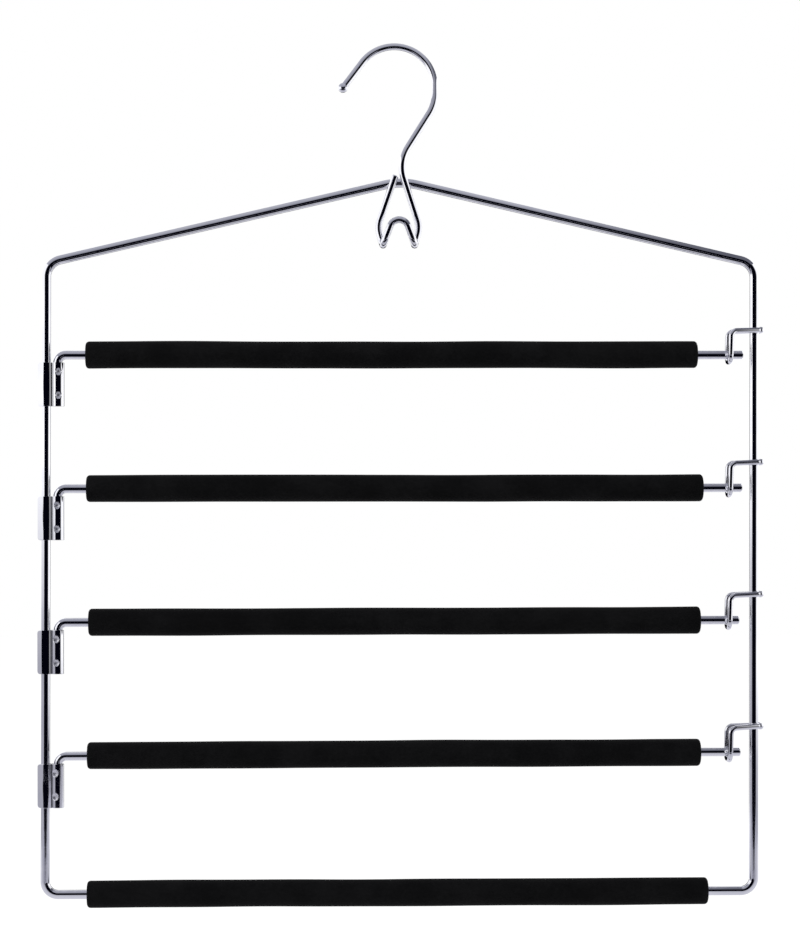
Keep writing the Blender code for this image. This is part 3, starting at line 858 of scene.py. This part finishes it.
hang_cloth("room_front", room_corner, room_width, room_height, room_front_glow)
hang_cloth("room_floor", room_corner, room_width, room_depth, room_floor_glow)

# Studio
# A plain pale floor below the hanging hanger, a white surround, and two large soft lamps, one above and one
# in front. The camera stands at the height of the hanger's middle, turned a little towards its fork side.
FLOOR_HEIGHT = -0.62
FLOOR_SIZE = 12.0
FLOOR_WHITE = (0.92, 0.92, 0.92, 1)
FLOOR_GLOW = 0.8
GLOW_STRENGTH = 1.07
SURROUND_WHITE = (1, 1, 1, 1)
SURROUND_LIGHT = 0.8
LAMP_TARGET = (0, 0, -0.2)
TOP_LAMP_AT = (0, -0.3, 1.3)
TOP_LAMP_SIZE = (1.4, 1.0)
TOP_LAMP_POWER = 26
FRONT_LAMP_AT = (-0.6, -1.6, 0.4)
FRONT_LAMP_SIZE = (1.2, 1.2)
FRONT_LAMP_POWER = 14
CAMERA_AT = (-0.04542, -1.50712, -0.21961)
CAMERA_YAW = math.radians(-1.8239)
CAMERA_PITCH = math.radians(0.068)
CAMERA_ROLL = math.radians(-0.08)
FOCAL_PIXELS = 2949.3
PHOTO_HEIGHT = 952
SENSOR = 36.0


def seen_directly(shade):
    """1 for rays from the camera, from a reflection or through glass, and 0 for the rest."""
    camera_ray, glossy_ray, clear_ray = (shade.node("LightPath", {}, {}, out=f"Is {kind} Ray")
                                         for kind in ("Camera", "Glossy", "Transmission"))
    return shade.math("MAXIMUM", shade.math("MAXIMUM", camera_ray, glossy_ray), clear_ray)


def new_lamp(name, at, size, power):
    """A soft lamp that faces the hanger, and that no chrome reflects."""
    lamp = bpy.data.lights.new(name, "AREA")
    lamp.shape = "RECTANGLE"
    lamp.size, lamp.size_y = size
    lamp.energy = power
    holder = bpy.data.objects.new(name, lamp)
    bpy.context.scene.collection.objects.link(holder)
    holder.location = at
    holder.rotation_euler = (Vector(LAMP_TARGET) - Vector(at)).to_track_quat("-Z", "Y").to_euler()
    holder.visible_glossy = False


shape = bmesh.new()
bmesh.ops.create_grid(shape, x_segments=1, y_segments=1, size=FLOOR_SIZE / 2,
                      matrix=Matrix.Translation((0, 0, FLOOR_HEIGHT)))
floor_mesh = bpy.data.meshes.new("pale_floor")
shape.to_mesh(floor_mesh)
shape.free()
floor_material, shade = new_material("pale floor")
paint = shade.node("BsdfDiffuse", {}, {"Color": FLOOR_WHITE})
glow = shade.node("Emission", {}, {"Color": SURROUND_WHITE, "Strength": GLOW_STRENGTH})
mixed = shade.node("MixShader", {}, {0: seen_directly(shade) * FLOOR_GLOW, 1: paint, 2: glow})
shade.node("OutputMaterial", {}, {"Surface": mixed})
floor_mesh.materials.append(floor_material)
floor = bpy.data.objects.new("pale_floor", floor_mesh)
bpy.context.scene.collection.objects.link(floor)

world = bpy.data.worlds.new("white surround")
world.use_nodes = True
world.node_tree.nodes.clear()
sky = Shade(world.node_tree)
strength = SURROUND_LIGHT + seen_directly(sky) * (1 - SURROUND_LIGHT)
surround = sky.node("Background", {}, {"Color": SURROUND_WHITE, "Strength": strength})
sky.node("OutputWorld", {}, {"Surface": surround})
bpy.context.scene.world = world

new_lamp("top_lamp", TOP_LAMP_AT, TOP_LAMP_SIZE, TOP_LAMP_POWER)
new_lamp("front_lamp", FRONT_LAMP_AT, FRONT_LAMP_SIZE, FRONT_LAMP_POWER)

camera = bpy.data.cameras.new("camera")
camera.sensor_width = SENSOR
camera.lens = FOCAL_PIXELS / PHOTO_HEIGHT * SENSOR
viewer = bpy.data.objects.new("camera", camera)
bpy.context.scene.collection.objects.link(viewer)
tripod = Matrix.Translation(CAMERA_AT) @ Matrix.Rotation(CAMERA_YAW, 4, "Z")
pitch = Matrix.Rotation(math.pi / 2 + CAMERA_PITCH, 4, "X")
viewer.matrix_world = tripod @ pitch @ Matrix.Rotation(CAMERA_ROLL, 4, "Z")
bpy.context.scene.camera = viewer
bpy.context.scene.view_settings.view_transform = "Standard"
